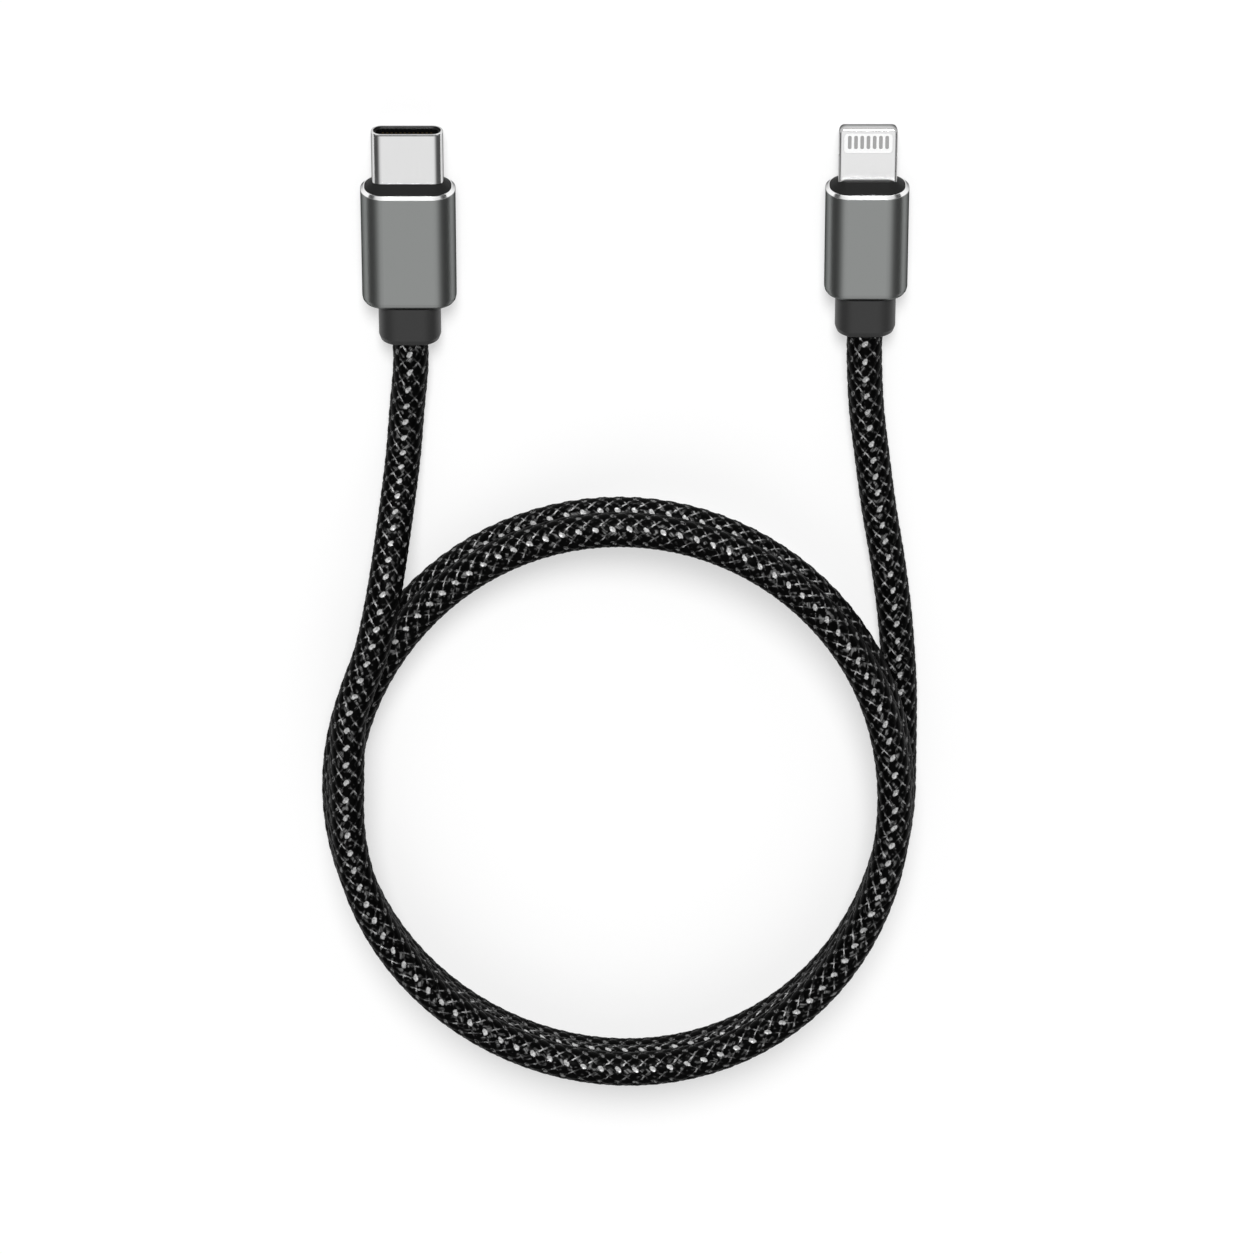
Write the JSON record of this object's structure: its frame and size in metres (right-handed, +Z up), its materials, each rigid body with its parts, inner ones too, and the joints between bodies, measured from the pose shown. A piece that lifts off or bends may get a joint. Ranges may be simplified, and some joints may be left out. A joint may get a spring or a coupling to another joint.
{
  "type": "charging cable",
  "caption": "Charging cable: a reversible oval plug and a flat blade plug in grey metal housings, joined by a black braided cord that lies in a loose coil.",
  "frame": {"origin": "centre of the two plugs' common box, on the plane that their housings rest on", "axes": "+X from the Type-C plug to the blade plug, +Y the way both plugs point, +Z up"},
  "size_m": [0.0708, 0.1329, 0.0127],
  "materials": {
    "shell_steel": "bright nickel plated steel",
    "insulator_black": "black moulded plastic",
    "contact_gold": "gold plated strip",
    "spring_steel": "bright spring steel",
    "board_green": "green board with solder mask",
    "chip_black": "black moulded chip bodies",
    "can_steel": "tinned steel sheet",
    "hot_melt": "grey hot melt",
    "bezel_black": "satin black moulded plastic",
    "housing_grey": "space grey anodised with a bright cut edge",
    "wire_red": "thin wire insulation",
    "crimp_steel": "plain pressed steel",
    "relief_black": "satin black rubber",
    "cord_braid": "black braided sleeve with pale flecks",
    "blade_steel": "bead blasted stainless steel",
    "core_white": "white moulded insulator",
    "blade_contact": "pale plated contact"
  },
  "bodies": {
    "root": {"typec_shell": "shell_steel", "typec_insulator": "insulator_black", "typec_contacts_upper": "contact_gold", "typec_contacts_lower": "contact_gold", "typec_latch": "spring_steel", "typec_ground_springs": "spring_steel", "typec_board": "board_green", "typec_board_parts": "chip_black", "typec_inner_can": "can_steel", "typec_inner_mould": "hot_melt", "typec_bezel": "bezel_black", "typec_housing": "housing_grey", "typec_wires": "wire_red", "typec_crimp": "crimp_steel", "typec_strain_relief": "relief_black", "typec_cord_end": "cord_braid", "blade_frame": "blade_steel", "blade_core": "core_white", "blade_contacts_upper": "blade_contact", "blade_contacts_lower": "blade_contact", "blade_board": "board_green", "blade_board_parts": "chip_black", "blade_inner_can": "can_steel", "blade_inner_mould": "hot_melt", "blade_bezel": "bezel_black", "blade_housing": "housing_grey", "blade_wires": "wire_red", "blade_crimp": "crimp_steel", "blade_strain_relief": "relief_black", "blade_cord_end": "cord_braid", "cord_arm_typec": "cord_braid", "cord_coil": "cord_braid", "cord_arm_blade": "cord_braid"}
  },
  "joints": []
}
